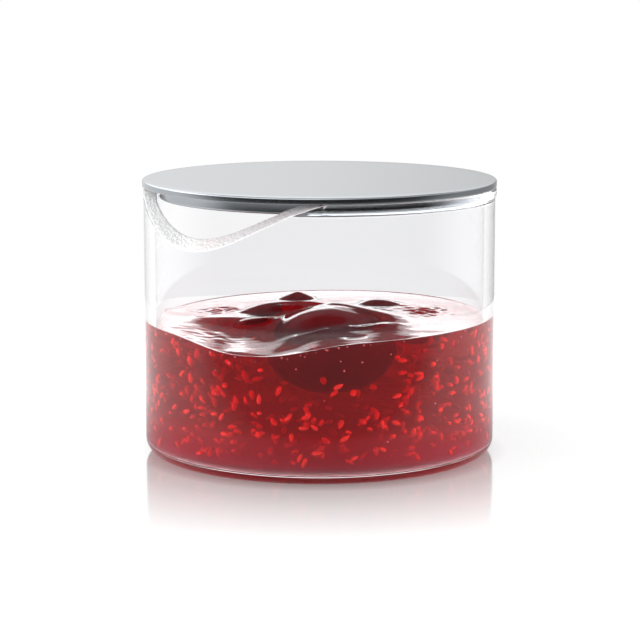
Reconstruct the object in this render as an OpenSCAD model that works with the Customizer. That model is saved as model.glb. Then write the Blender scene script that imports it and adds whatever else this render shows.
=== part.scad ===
// Glass jam pot with a flat sheet-steel lid, a ground spoon notch in its rim and a fill of berry jam.
// The origin is the middle of the base, +Z is up, and the notch faces -Y. All sizes are in millimetres.

/* [Glass pot] */
// Outside diameter of the glass wall
pot_d = 99.2; // [90:0.2:120]
// Height of the glass, from the table to the seat on the rim
pot_h = 76; // [66:0.5:100]
// Thickness of the glass wall
wall_t = 3; // [2.2:0.1:4]
// Thickness of the glass base
base_t = 3.2; // [2.4:0.1:6]
// Radius of the rounded foot
foot_r = 3.2; // [2:0.1:6]
// Radius of the corner between base and wall, inside
inside_r = 3; // [2:0.1:8]
// How far the fire-polished bead on the rim stands proud of the wall, on each side
bead_proud = 0.4; // [0.2:0.05:0.8]
// Width of the flat seat on top of the bead
seat_w = 1.2; // [0.6:0.1:2]

/* [Spoon notch] */
// Depth of the notch under the rim, at the wall's inner face
notch_depth = 11; // [6:0.5:14]
// Angle from the notch's middle to the place where its curve runs out over the rim
notch_half_angle = 50; // [30:1:60]
// How far the ground face of the notch falls from the inner face to the outer one
notch_fall = 3.2; // [0.5:0.1:5]
// Height over the rim at which the notch's curve runs out
notch_runout = 0.4; // [0.2:0.05:1]

/* [Lid] */
// Thickness of the sheet that the cap is pressed from
cap_t = 1; // [0.6:0.1:1.2]
// Radius of the cap's rolled upper edge
cap_edge_r = 0.5; // [0.2:0.05:0.6]
// Thickness of the sheet that the pan is pressed from
pan_t = 0.8; // [0.5:0.1:1.2]
// How far the pan reaches down into the pot
pan_drop = 3.2; // [2:0.1:6]
// Outside radius of the bend round the pan's floor
pan_bend_r = 1.2; // [0.4:0.1:2]
// Clearance between the pan's wall and the bead, all round
pan_clearance = 0.6; // [0.3:0.1:1.2]
// Clearance between the pan's flange and the cap's skirt
flange_clearance = 0.05; // [0.03:0.01:0.2]

/* [Jam] */
// Height of the jam's level over the table
jam_level = 38.4; // [30:0.2:48]
// Clearance between the jam and the glass
jam_clearance = 0.05; // [0.02:0.01:0.2]
// Height that the jam climbs where it meets the wall
meniscus_h = 0.5; // [0:0.1:1.5]
// Depth of the hollow that the spoon left beside the notch
scoop_depth = 3; // [0:0.2:8]
// Width of that hollow, from its middle to where it fades
scoop_w = 20; // [10:1:30]
// Height of the ripples on the surface
ripple_h = 0.45; // [0:0.05:1]
// Length of the ripples
ripple_length = 17; // [10:1:30]

/* [Berries] */
// Widest diameter of the large berry
large_berry_w = 29; // [18:0.5:30]
// Height of the large berry
large_berry_h = 22; // [14:0.5:26]
// How far the large berry stands over the jam's level
large_berry_rise = 4.4; // [1:0.2:6]
// Widest diameter of the small berries
small_berry_w = 13; // [8:0.5:15]
// Height of the small berries
small_berry_h = 10; // [6:0.5:13]
// How far the small berries stand over the jam's level
small_berry_rise = 2.2; // [0.5:0.1:4]
// Where the large berry lies, in degrees round from the notch
large_berry_angle = 55; // [-180:5:180]
// Its distance from the pot's axis, as a share of the glass's inner radius
large_berry_out_share = 0.32; // [0:0.02:0.5]
// Where the left berry lies, in degrees round from the notch
left_berry_angle = -55; // [-70:5:-40]
// Its distance from the axis, as such a share
left_berry_out_share = 0.37; // [0.3:0.01:0.5]
// Where the rear berry lies, in degrees round from the notch
rear_berry_angle = -120; // [-150:2:-110]
// Its distance from the axis, as such a share
rear_berry_out_share = 0.57; // [0.4:0.01:0.7]
// Where the right berry lies, in degrees round from the notch
right_berry_angle = 175; // [150:1:190]
// Its distance from the axis, as such a share
right_berry_out_share = 0.48; // [0.4:0.01:0.7]
// Thickness of the jelly that clings over the berries
film_t = 0.8; // [0.6:0.1:2]
// Softness of the fillet between the level and a covered berry
drape_r = 0.7; // [0.3:0.1:2]
// Clearance between a berry and the jelly round it
berry_clearance = 0.1; // [0.05:0.01:0.3]

/* [Hidden] */
$fn = 96;

// Glass
pot_r = pot_d / 2;
inner_r = pot_r - wall_t;
bead_r = wall_t / 2 + bead_proud;
bead_z = pot_h - sqrt(pow(bead_r, 2) - pow(seat_w / 2, 2));
overrun = wall_t;

// Lid: its edge is flush with the bead
lid_r = pot_r + bead_proud;
edge_h = cap_t + pan_t;
pan_r = inner_r - bead_proud - pan_clearance;
flange_r = lid_r - cap_t - flange_clearance;

// Jam: the scoop has an angle, in degrees round from the notch, and a distance from the axis,
// as a share of the glass's inner radius
jam_r = inner_r - jam_clearance;
jam_floor = base_t + jam_clearance;
scoop_angle = 22;
scoop_out_share = 0.95;
ripple_angles = [25, 100, 160];
ripple_length_shares = [1, 0.71, 0.52];
jam_rings = 15;
jam_sectors = 64;
corner_steps = 4;
meniscus_power = 10;

// Berries: width, height, rise over the level, angle and distance share
berry_taper_share = 0.12;
berry_steps = 18;
small_berry = [small_berry_w, small_berry_h, small_berry_rise];
LARGE = [large_berry_w, large_berry_h, large_berry_rise, large_berry_angle, large_berry_out_share];
LEFT = concat(small_berry, left_berry_angle, left_berry_out_share);
REAR = concat(small_berry, rear_berry_angle, rear_berry_out_share);
RIGHT = concat(small_berry, right_berry_angle, right_berry_out_share);
BERRIES = [LARGE, LEFT, REAR, RIGHT];

// Half outline of a block turned about Z, from z0 up to z1, with a round corner at the bottom
module round_bottom(r, z0, z1, corner) {
    translate([0, z0 + corner]) square([r, z1 - z0 - corner]);
    translate([0, z0]) square([r - corner, corner]);
    translate([r - corner, z0 + corner]) circle(corner);
}

// The same, with the round corner at the top
module round_top(r, z0, z1, corner) {
    square_h = z1 - z0 - corner;
    translate([0, z0]) square([r, square_h]);
    translate([0, z0 + square_h]) square([r - corner, corner]);
    translate([r - corner, z0 + square_h]) circle(corner);
}

// Glass pot: a turned section with a round foot and a bead on the rim, less the notch
module bead_section() {
    intersection() {
        translate([inner_r + wall_t / 2, bead_z]) circle(bead_r);
        square([pot_r + overrun, pot_h]);
    }
}

module glass_section() {
    difference() {
        round_bottom(pot_r, 0, bead_z, foot_r);
        round_bottom(inner_r, base_t, pot_h, inside_r);
    }
    bead_section();
}

// How deep the notch is at a turn from its middle, from 1 there to 0 where it runs out
function notch_part(turn) = (1 + cos(180 * turn / notch_half_angle)) / 2;
function notch_slope(turn) = notch_fall / wall_t * (1 - pow(turn / notch_half_angle, 2));
function notch_z(turn, r) = pot_h + notch_runout - (notch_depth + notch_runout) * notch_part(turn)
    - notch_slope(turn) * (r - inner_r);
function notch_point(turn, r, z) = [r * sin(turn), -r * cos(turn), z];

// The grinding wheel's sweep: a closed band of four corners at each turn along the notch
module notch_cutter() {
    steps = 40;
    r0 = inner_r - overrun;
    r1 = pot_r + overrun;
    top = pot_h + overrun;
    turns = [for (i = [0 : steps]) notch_half_angle * (2 * i / steps - 1)];
    points = [for (t = turns) each [
        notch_point(t, r0, notch_z(t, r0)), notch_point(t, r1, notch_z(t, r1)),
        notch_point(t, r1, top), notch_point(t, r0, top)]];
    sides = [for (i = [0 : steps - 1], k = [0 : 3]) each
        let (a = 4 * i + k, b = 4 * i + (k + 1) % 4) [[a, b, a + 4], [b, b + 4, a + 4]]];
    ends = [[3, 2, 1, 0], [for (k = [0 : 3]) 4 * steps + k]];
    polyhedron(points, concat(sides, ends));
}

module glass_pot() {
    color("azure", 0.35)
        difference() {
            rotate_extrude() glass_section();
            notch_cutter();
        }
}

// Lid cap: a flat disc with a rolled upper edge and a turned-down skirt
module lid_cap() {
    color("silver")
        translate([0, 0, pot_h])
            rotate_extrude()
                difference() {
                    round_top(lid_r, 0, edge_h, cap_edge_r);
                    square([lid_r - cap_t, pan_t]);
                }
}

// Lid pan: a flange that lies under the cap and sits on the bead, and a dished floor
module lid_pan() {
    color("gainsboro")
        translate([0, 0, pot_h])
            rotate_extrude()
                difference() {
                    union() {
                        square([flange_r, pan_t]);
                        round_bottom(pan_r, -pan_drop, pan_t, pan_bend_r);
                    }
                    round_bottom(pan_r - pan_t, pan_t - pan_drop, edge_h, pan_bend_r / 2);
                }
}

// Places round the pot: a turn from the notch and a distance from the axis
function place(turn, out) = out * [sin(turn), -cos(turn)];

// Berries: a turned outline that is a little wider above its middle
function berry_xy(b) = place(b[3], b[4] * inner_r);
function berry_z(b) = jam_level + b[2] - b[1] / 2;
function berry_outline(w, h) = [for (i = [0 : berry_steps])
    let (a = 180 * i / berry_steps)
        [w / 2 * sin(a) * (1 - berry_taper_share * cos(a)), -h / 2 * cos(a)]];

module berry(b, grow) {
    translate([berry_xy(b)[0], berry_xy(b)[1], berry_z(b)])
        rotate_extrude() polygon(berry_outline(b[0] + 2 * grow, b[1] + 2 * grow));
}

module large_berry() color("maroon") berry(LARGE, 0);
module left_berry() color("maroon") berry(LEFT, 0);
module rear_berry() color("firebrick") berry(REAR, 0);
module right_berry() color("maroon") berry(RIGHT, 0);

// Jam surface: ripples, a scooped hollow by the notch and a meniscus, drawn over the berries
function ripple(p, i) = sin(360 * (p * place(ripple_angles[i], 1))
    / (ripple_length * ripple_length_shares[i]));
function ripples(p) = ripple_h * (ripple(p, 0) + ripple(p, 1) * ripple(p, 2));
function scoop(p) = scoop_depth
    * exp(-pow(norm(p - place(scoop_angle, scoop_out_share * inner_r)) / scoop_w, 2));
function level_z(p) = jam_level + ripples(p) - scoop(p)
    + meniscus_h * pow(norm(p) / jam_r, meniscus_power);
function covers(p) = [for (b = BERRIES)
    let (w = b[0] / 2 * (1 + berry_taper_share) + film_t, h = b[1] / 2 + film_t,
         d = norm(p - berry_xy(b)) / w)
        if (d < 1) berry_z(b) + h * sqrt(1 - pow(d, 2))];
// The heights are joined by a maximum with a soft fillet
function soft_max(heights) = let (top = max(heights))
    top + drape_r * ln([for (h = heights) exp((h - top) / drape_r)] * [for (h = heights) 1]);
function jam_z(p) = soft_max(concat([level_z(p)], covers(p)));

// Jam: rings of points from the middle of the surface out, down the wall and back under it
module jam_solid() {
    function ring_xy(r, j) = place(360 * j / jam_sectors, r);
    function xyz(p, z) = [p[0], p[1], z];
    top_points = [for (i = [1 : jam_rings], j = [0 : jam_sectors - 1])
        let (p = ring_xy(jam_r * i / jam_rings, j)) xyz(p, jam_z(p))];
    corner_points = [for (i = [corner_steps : -1 : 0], j = [0 : jam_sectors - 1])
        let (a = 90 * i / corner_steps)
            xyz(ring_xy(jam_r - inside_r * (1 - sin(a)), j), jam_floor + inside_r * (1 - cos(a)))];
    points = concat([[0, 0, jam_z([0, 0])]], top_points, corner_points, [[0, 0, jam_floor]]);
    rings = jam_rings + corner_steps + 1;
    last = len(points) - 1;
    bands = [for (i = [0 : rings - 2], j = [0 : jam_sectors - 1]) each
        let (a = 1 + i * jam_sectors + j, b = 1 + i * jam_sectors + (j + 1) % jam_sectors)
            [[a, b, a + jam_sectors], [b, b + jam_sectors, a + jam_sectors]]];
    fans = [for (j = [0 : jam_sectors - 1]) each
        let (a = 1 + j, b = 1 + (j + 1) % jam_sectors, low = (rings - 1) * jam_sectors)
            [[0, b, a], [last, a + low, b + low]]];
    polyhedron(points, concat(bands, fans));
}

module jam_gel() {
    color("crimson", 0.8)
        difference() {
            jam_solid();
            for (b = BERRIES) berry(b, berry_clearance);
        }
}

glass_pot();
lid_cap();
lid_pan();
jam_gel();
large_berry();
left_berry();
rear_berry();
right_berry();
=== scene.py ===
"""Glass jam pot with a flat steel lid and a fill of berry jam, modelled piece by piece."""
import math
import random

import bmesh
import bpy
import numpy as np
from bpy.props import FloatProperty, FloatVectorProperty, IntProperty, PointerProperty
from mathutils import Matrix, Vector, noise


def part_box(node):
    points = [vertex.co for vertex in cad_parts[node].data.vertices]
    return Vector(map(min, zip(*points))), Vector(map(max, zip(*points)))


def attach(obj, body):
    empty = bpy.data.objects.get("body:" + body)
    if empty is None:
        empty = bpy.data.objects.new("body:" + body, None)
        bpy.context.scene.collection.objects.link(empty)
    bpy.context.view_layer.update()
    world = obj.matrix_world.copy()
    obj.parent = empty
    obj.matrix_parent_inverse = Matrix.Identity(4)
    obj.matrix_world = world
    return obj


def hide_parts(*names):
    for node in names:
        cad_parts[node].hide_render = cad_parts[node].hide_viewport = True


bl_info = {
    "name": "Jam pot",
    "version": (1, 0, 0),
    "blender": (4, 5, 0),
    "location": "View3D > Sidebar > Jam pot",
    "description": "Builds a glass jam pot, its steel lid and its fill of jam piece by piece",
    "category": "Object",
}

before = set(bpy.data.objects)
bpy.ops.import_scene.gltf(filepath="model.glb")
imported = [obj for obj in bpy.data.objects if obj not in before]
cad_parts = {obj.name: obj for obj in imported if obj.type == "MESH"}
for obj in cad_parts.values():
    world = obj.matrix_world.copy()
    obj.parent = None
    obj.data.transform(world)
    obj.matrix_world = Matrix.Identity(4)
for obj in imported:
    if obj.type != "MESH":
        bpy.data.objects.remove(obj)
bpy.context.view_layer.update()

# Plain numbers of the object: metres, and degrees round from the spoon notch, which faces -Y
MM = 0.001
PER_MM = 1000
POT_H = 76 * MM
POT_R = 49.6 * MM
INNER_R = 46.6 * MM
BASE_T = 3.2 * MM
JAM_LEVEL = 38.4 * MM
SECTORS = 288
# Points of an outline count as the same when they are nearer than this
NEAR = 0.01 * MM


# Sizes and colours that a user would change

def linear(hex_colour):
    """Turns an sRGB hex colour into the linear colour that a shader socket takes."""
    shares = [int(hex_colour[i:i + 2], 16) / 255 for i in (1, 3, 5)]
    return [s / 12.92 if s <= 0.04045 else ((s + 0.055) / 1.055) ** 2.4 for s in shares]


def length(name, description, default_mm, low_mm, high_mm):
    """A length property, in metres, with its limits given in millimetres."""
    return FloatProperty(name=name, description=description, default=default_mm * MM,
                         min=low_mm * MM, max=high_mm * MM, unit="LENGTH", subtype="DISTANCE",
                         precision=4)


def colour(name, description, hex_colour):
    """A colour property."""
    return FloatVectorProperty(name=name, description=description, default=linear(hex_colour),
                               size=3, min=0, max=1, subtype="COLOR")


class JamPotGlass(bpy.types.PropertyGroup):
    """Sizes and colour of the glass"""
    wall_t: length("Wall thickness", "Thickness of the glass wall", 3, 2.2, 4)
    foot_r: length("Foot radius", "Radius of the rounded foot", 4.4, 2, 6)
    inside_r: length("Inside corner radius", "Radius between base and wall, inside", 3, 2, 8)
    bead_proud: length("Bead", "How far the rim's bead stands proud of the wall", 0.4, 0.2, 0.8)
    seat_w: length("Seat width", "Width of the flat seat on top of the bead", 1.2, 0.6, 2)
    notch_depth: length("Notch depth", "Depth of the spoon notch at the inner face", 11, 6, 14)
    notch_fall: length("Notch fall", "Fall of the ground face, inside to outside", 3.2, 0.5, 5)
    notch_half_angle: FloatProperty(
        name="Notch half angle", description="From the notch's middle to its end",
        default=math.radians(50), min=math.radians(30), max=math.radians(60), subtype="ANGLE")
    tint: colour("Tint", "Colour of the light that the glass lets through", "#FDFDFE")


class JamPotLid(bpy.types.PropertyGroup):
    """Sizes and colour of the lid"""
    cap_t: length("Cap sheet", "Thickness of the cap's sheet", 1, 0.6, 1.2)
    cap_edge_r: length("Cap edge radius", "Radius of the cap's rolled edge", 0.5, 0.2, 0.6)
    pan_t: length("Pan sheet", "Thickness of the pan's sheet", 0.8, 0.5, 1.2)
    pan_drop: length("Pan depth", "How far the pan reaches down", 3.2, 2, 6)
    pan_bend_r: length("Pan bend radius", "Radius of the bend round the pan's floor", 0.6, 0.4, 2)
    steel: colour("Steel", "Colour of the brushed sheet", "#B0B5BA")


class JamPotJam(bpy.types.PropertyGroup):
    """Sizes and colours of the fill"""
    bulge: length("Bulge", "How far the surface rises towards the middle", 1.6, 0, 4)
    scoop_depth: length("Scoop depth", "Depth of the hollow beside the notch", 3.7, 0, 8)
    scoop_w: length("Scoop width", "Width of that hollow", 18.7, 10, 30)
    meniscus_h: length("Meniscus", "How far the jam climbs the wall", 0.2, 0, 1.5)
    seeds: IntProperty(name="Seeds", description="How many seeds float in the jam",
                       default=1250, min=1, max=3000)
    bubbles: IntProperty(name="Bubbles", description="How many air bubbles cling to the wall",
                         default=110, min=1, max=400)
    gel: colour("Gel", "Colour of the light that comes back off the jelly", "#D8888E")
    seed: colour("Seed", "Colour of the seeds", "#F52E26")
    fruit: colour("Fruit", "Colour of the whole berries", "#461014")


# Helpers for meshes and nodes

def deselect():
    """Deselects every object."""
    bpy.ops.object.select_all(action="DESELECT")


def arc(r, z, radius, first, last, steps):
    """Outline points round a corner, from one angle to another in degrees."""
    angles = [math.radians(first + (last - first) * i / steps) for i in range(steps + 1)]
    return [(r + radius * math.cos(a), z + radius * math.sin(a)) for a in angles]


def turned(name, outline, sectors=SECTORS):
    """Spins an outline that starts and ends on the axis into a closed piece."""
    deselect()
    bpy.ops.mesh.primitive_circle_add(vertices=len(outline), radius=POT_R, location=(0, 0, 0))
    piece = bpy.context.object
    piece.name = name
    bpy.ops.object.mode_set(mode="EDIT")
    mesh = bmesh.from_edit_mesh(piece.data)
    mesh.verts.ensure_lookup_table()
    for vert, (r, z) in zip(mesh.verts, outline):
        vert.co = (0, -r, z)
    closing = [e for e in mesh.edges if {v.index for v in e.verts} == {0, len(outline) - 1}]
    bmesh.ops.delete(mesh, geom=closing, context="EDGES_FACES")
    bmesh.update_edit_mesh(piece.data)
    bpy.ops.mesh.select_all(action="SELECT")
    bpy.ops.mesh.spin(steps=sectors, angle=2 * math.pi, center=(0, 0, 0), axis=(0, 0, 1))
    bpy.ops.mesh.select_all(action="SELECT")
    bpy.ops.mesh.remove_doubles(threshold=0.002 * MM)
    bpy.ops.mesh.normals_make_consistent(inside=False)
    bpy.ops.object.mode_set(mode="OBJECT")
    return piece


def points_of(piece):
    """A piece's vertices as rows of an array."""
    places = np.empty(len(piece.data.vertices) * 3)
    piece.data.vertices.foreach_get("co", places)
    return places.reshape(-1, 3)


def set_points(piece, places):
    """Writes such rows back to the piece."""
    piece.data.vertices.foreach_set("co", places.reshape(-1))
    piece.data.update()


def merge_copies(piece, copies):
    """Gives a piece a mesh of many copies of its own, each with its own rows of points."""
    faces = [tuple(f.vertices) for f in piece.data.polygons]
    step = len(piece.data.vertices)
    mesh = bpy.data.meshes.new(piece.name)
    mesh.from_pydata(np.concatenate(copies).tolist(), [],
                     [tuple(v + i * step for v in face)
                      for i in range(len(copies)) for face in faces])
    mesh.validate()
    piece.data = mesh


def smooth(piece, degrees):
    """Smooth shading, with a sharp edge wherever faces meet at more than this angle."""
    deselect()
    piece.select_set(True)
    bpy.context.view_layer.objects.active = piece
    bpy.ops.object.shade_smooth_by_angle(angle=math.radians(degrees))


def add_node(tree, kind, settings=(), links=()):
    """Adds a node, sets its properties and sockets by name, and links its inputs."""
    node = tree.nodes.new(kind)
    for name, value in dict(settings).items():
        if isinstance(name, str) and hasattr(node, name):
            setattr(node, name, value)
        else:
            node.inputs[name].default_value = value
    for name, source in dict(links).items():
        tree.links.new(source, node.inputs[name])
    return node


def new_material(name):
    """An empty node material, and its tree and output node."""
    material = bpy.data.materials.new(name)
    material.use_nodes = True
    material.node_tree.nodes.clear()
    return material, material.node_tree, material.node_tree.nodes.new("ShaderNodeOutputMaterial")


def rgba(values):
    """A colour with full opacity."""
    return (*values, 1.0)


def set_greys(ramp, greys):
    """Sets a colour ramp's grey levels, given as pairs of position and level from low to high."""
    steps = ramp.color_ramp.elements
    for step, (position, level) in zip(steps, (greys[0], greys[-1])):
        step.position = position
        step.color = (level, level, level, 1)
    for position, level in greys[1:-1]:
        steps.new(position).color = (level, level, level, 1)


def lamp_side(tree, surface):
    """Mixes a surface with a clear one where rays pass it unbent.

    They are the rays from lamps and of soft light, and all rays where jelly wets the glass,
    because the two bend light alike and the face between them can't be seen.
    """
    path = add_node(tree, "ShaderNodeLightPath")
    lit = add_node(tree, "ShaderNodeMath", {"operation": "MAXIMUM"},
                   {0: path.outputs["Is Shadow Ray"], 1: path.outputs["Is Diffuse Ray"]})
    wet = add_node(tree, "ShaderNodeAttribute", {"attribute_name": "wet"})
    either = add_node(tree, "ShaderNodeMath", {"operation": "MAXIMUM"},
                      {0: lit.outputs[0], 1: wet.outputs["Fac"]})
    through = add_node(tree, "ShaderNodeBsdfTransparent")
    return add_node(tree, "ShaderNodeMixShader", (),
                    {0: either.outputs[0], 1: surface.outputs[0], 2: through.outputs[0]})


def set_wet(piece, is_wet):
    """Marks the faces where jelly and glass touch, by each face's middle and normal."""
    wet = piece.data.attributes.new("wet", "FLOAT", "FACE")
    for face, mark in zip(piece.data.polygons, wet.data):
        mark.value = float(is_wet(face.center, face.normal))


# Materials

def clear_glass(name, tint, through, rough, ground=False):
    """Borosilicate glass, blown and fire-polished: clear, with crisp highlights. IOR 1.47.

    The ground face of the notch was polished again with a flame. It is slightly frosted, with a
    roughness of 0.25 and an orange peel about 0.6 mm across. The peel is also painted in a
    light grey pattern that stands in for the shade of its relief: painted shade. The rim's
    shoulder gets the same pale frosted finish as a painted highlight, a light line along the
    rim's top. The base keeps the satin of its mould, with a roughness of 0.3.
    """
    material, tree, output = new_material(name)
    settings = {"Base Color": rgba(tint), "IOR": 1.47, "Transmission Weight": through,
                "Roughness": rough}
    links = {}
    if ground:
        place = add_node(tree, "ShaderNodeTexCoord")
        peel_and_painted_shade = add_node(tree, "ShaderNodeTexVoronoi",
                        {"Scale": 1.5 * PER_MM, "feature": "SMOOTH_F1"},
                        {"Vector": place.outputs["Object"]})
        # Painted shade: the peel also greys the colour, standing in for the shade of its relief
        shade = add_node(tree, "ShaderNodeMixRGB", {"Color1": (1, 1, 1, 1),
                         "Color2": rgba(linear("#DADBDD"))}, {0: peel_and_painted_shade.outputs["Distance"]})
        bump = add_node(tree, "ShaderNodeBump", {"Strength": 1.0, "Distance": 0.16 * MM},
                        {"Height": peel_and_painted_shade.outputs["Distance"]})
        links = {"Normal": bump.outputs[0], "Base Color": shade.outputs[0]}
    surface = add_node(tree, "ShaderNodeBsdfPrincipled", settings, links)
    mixed = lamp_side(tree, surface)
    tree.links.new(mixed.outputs[0], output.inputs["Surface"])
    return material


def brushed_steel(steel):
    """Stainless steel sheet, satin brushed: soft reflections and fine lines.

    The roughness is 0.14 to 0.24. Real lines are closer than 0.1 mm. They are drawn about
    0.15 mm apart, so that they show.
    """
    material, tree, output = new_material("satin_brushed_stainless_steel")
    place = add_node(tree, "ShaderNodeTexCoord")
    along = add_node(tree, "ShaderNodeMapping",
                     {"Scale": (0.06 * PER_MM, 6 * PER_MM, 2 * PER_MM)},
                     {"Vector": place.outputs["Object"]})
    lines = add_node(tree, "ShaderNodeTexNoise", {"Scale": 1.0, "Detail": 3, "Roughness": 0.6},
                     {"Vector": along.outputs[0]})
    rough = add_node(tree, "ShaderNodeMapRange", {"To Min": 0.14, "To Max": 0.24},
                     {"Value": lines.outputs[0]})
    bump = add_node(tree, "ShaderNodeBump", {"Strength": 0.15, "Distance": 0.01 * MM},
                    {"Height": lines.outputs[0]})
    surface = add_node(tree, "ShaderNodeBsdfPrincipled",
                       {"Base Color": rgba(steel), "Metallic": 1.0},
                       {"Roughness": rough.outputs[0], "Normal": bump.outputs[0]})
    tree.links.new(surface.outputs[0], output.inputs["Surface"])
    return material


def jelly(gel):
    """Set berry jelly: glossy and wet, clear and deep red. IOR 1.46, roughness 0.02."""
    material, tree, output = new_material("set_berry_jelly")
    surface = add_node(tree, "ShaderNodeBsdfPrincipled",
                       {"Base Color": rgba(gel), "IOR": 1.46, "Transmission Weight": 0.97,
                        "Roughness": 0.02})
    mixed = lamp_side(tree, surface)
    tree.links.new(mixed.outputs[0], output.inputs["Surface"])
    inside = add_node(tree, "ShaderNodeVolumeAbsorption",
                      {"Color": rgba(linear("#F9AABD")), "Density": 260})
    tree.links.new(inside.outputs[0], output.inputs["Volume"])
    return material


def pulp_cloud(name, density):
    """Fine pulp that floats in the jelly: a soft red haze, thin enough to see seeds through."""
    material, tree, output = new_material(name)
    clear = add_node(tree, "ShaderNodeBsdfTransparent")
    tree.links.new(clear.outputs[0], output.inputs["Surface"])
    haze = add_node(tree, "ShaderNodeVolumeScatter",
                    {"Color": rgba(linear("#FF6584")), "Density": density,
                     "Anisotropy": 0.3})
    tree.links.new(haze.outputs[0], output.inputs["Volume"])
    return material


def berry_skin(name, fruit):
    """Cooked berry skin: dark and soft, with folds about 3 mm apart, redder near the surface."""
    material, tree, output = new_material(name)
    place = add_node(tree, "ShaderNodeTexCoord")
    folds = add_node(tree, "ShaderNodeTexNoise", {"Scale": 0.33 * PER_MM, "Detail": 3},
                     {"Vector": place.outputs["Object"]})
    shade = add_node(tree, "ShaderNodeMixRGB", {"Color1": rgba(fruit),
                     "Color2": rgba([0.4 * c for c in fruit])}, {0: folds.outputs[0]})
    height = add_node(tree, "ShaderNodeSeparateXYZ", (), {0: place.outputs["Object"]})
    near_top = add_node(tree, "ShaderNodeMapRange", {"From Min": 37 * MM, "From Max": 42 * MM},
                        {"Value": height.outputs["Z"]})
    skin = add_node(tree, "ShaderNodeMixRGB", {"Color2": rgba(linear("#862126"))},
                    {0: near_top.outputs[0], "Color1": shade.outputs[0]})
    bump = add_node(tree, "ShaderNodeBump", {"Strength": 0.5, "Distance": 0.4 * MM},
                    {"Height": folds.outputs[0]})
    surface = add_node(tree, "ShaderNodeBsdfPrincipled", {"Roughness": 0.4},
                       {"Base Color": skin.outputs[0], "Normal": bump.outputs[0]})
    tree.links.new(surface.outputs[0], output.inputs["Surface"])
    return material


def seed_husk(seed):
    """Raspberry seed husk: hard and dull, stained red by the jam, in patches 2 mm across."""
    material, tree, output = new_material("raspberry_seed_husk")
    place = add_node(tree, "ShaderNodeTexCoord")
    patch = add_node(tree, "ShaderNodeTexNoise", {"Scale": 0.5 * PER_MM, "Detail": 1},
                     {"Vector": place.outputs["Object"]})
    shade = add_node(tree, "ShaderNodeMixRGB", {"Color1": rgba(seed),
                     "Color2": rgba([0.7 * c for c in seed])}, {0: patch.outputs[0]})
    surface = add_node(tree, "ShaderNodeBsdfPrincipled",
                       {"Roughness": 0.5, "Specular IOR Level": 0.15},
                       {"Base Color": shade.outputs[0]})
    tree.links.new(surface.outputs[0], output.inputs["Surface"])
    return material


def bubble_painted_reflection():
    """Air bubble in jelly: a small bead, its pale red a painted reflection. Soft sheen, roughness
    0.2.
    """
    material, tree, output = new_material("air_bubble_painted_reflection")
    # The pale red stands in for the light that a bubble's skin mirrors: a painted reflection
    surface = add_node(tree, "ShaderNodeBsdfPrincipled",
                       {"Base Color": rgba(linear("#CB6565")), "Roughness": 0.2})
    tree.links.new(surface.outputs[0], output.inputs["Surface"])
    return material


# Glass pot

# Half the bead's height, the height where the rim's outline starts, and the wall's lower rows
BEAD_HIGH = 1.6 * MM
RIM_LOW = 57 * MM
WALL_ROWS = (40 * MM, 22 * MM)
# Points of the rim's outline: on each wall, in each corner of the ground face and across it
WALL_POINTS = 26
CORNER_POINTS = 4
FACE_POINTS = 9
# Rows with a ground finish: the face and its corners in the notch. Elsewhere the shoulder
# # gets the same pale frosted finish as a painted highlight along the rim's top
FACE_ROWS = range(WALL_POINTS + CORNER_POINTS // 2, WALL_POINTS + 2 * CORNER_POINTS + FACE_POINTS)
SHOULDER_HIGHLIGHT_ROWS = range(WALL_POINTS + CORNER_POINTS + FACE_POINTS, FACE_ROWS.stop + 5)


def notch_line(size, turn):
    """Height of the ground face at the inner wall and its fall per metre outwards, at a turn."""
    share = min(abs(turn) / size.notch_half_angle, 1)
    runout = 0.4 * MM
    part = (1 + math.cos(math.pi * share)) / 2
    height = POT_H + runout - (size.notch_depth + runout) * part
    fall = size.notch_fall / size.wall_t * (1 - share ** 2)
    return height, fall, abs(turn) < size.notch_half_angle


def bead_side(middle, bead_z, wide, high, first, last):
    """Outline points of a squarish bead: its flat sides hardly magnify what is behind them."""
    return [(middle + wide * math.copysign(math.sqrt(abs(r)), r),
             bead_z + high * math.copysign(math.sqrt(abs(z)), z))
            for r, z in arc(0, 0, 1, first, last, 60)]


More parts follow.
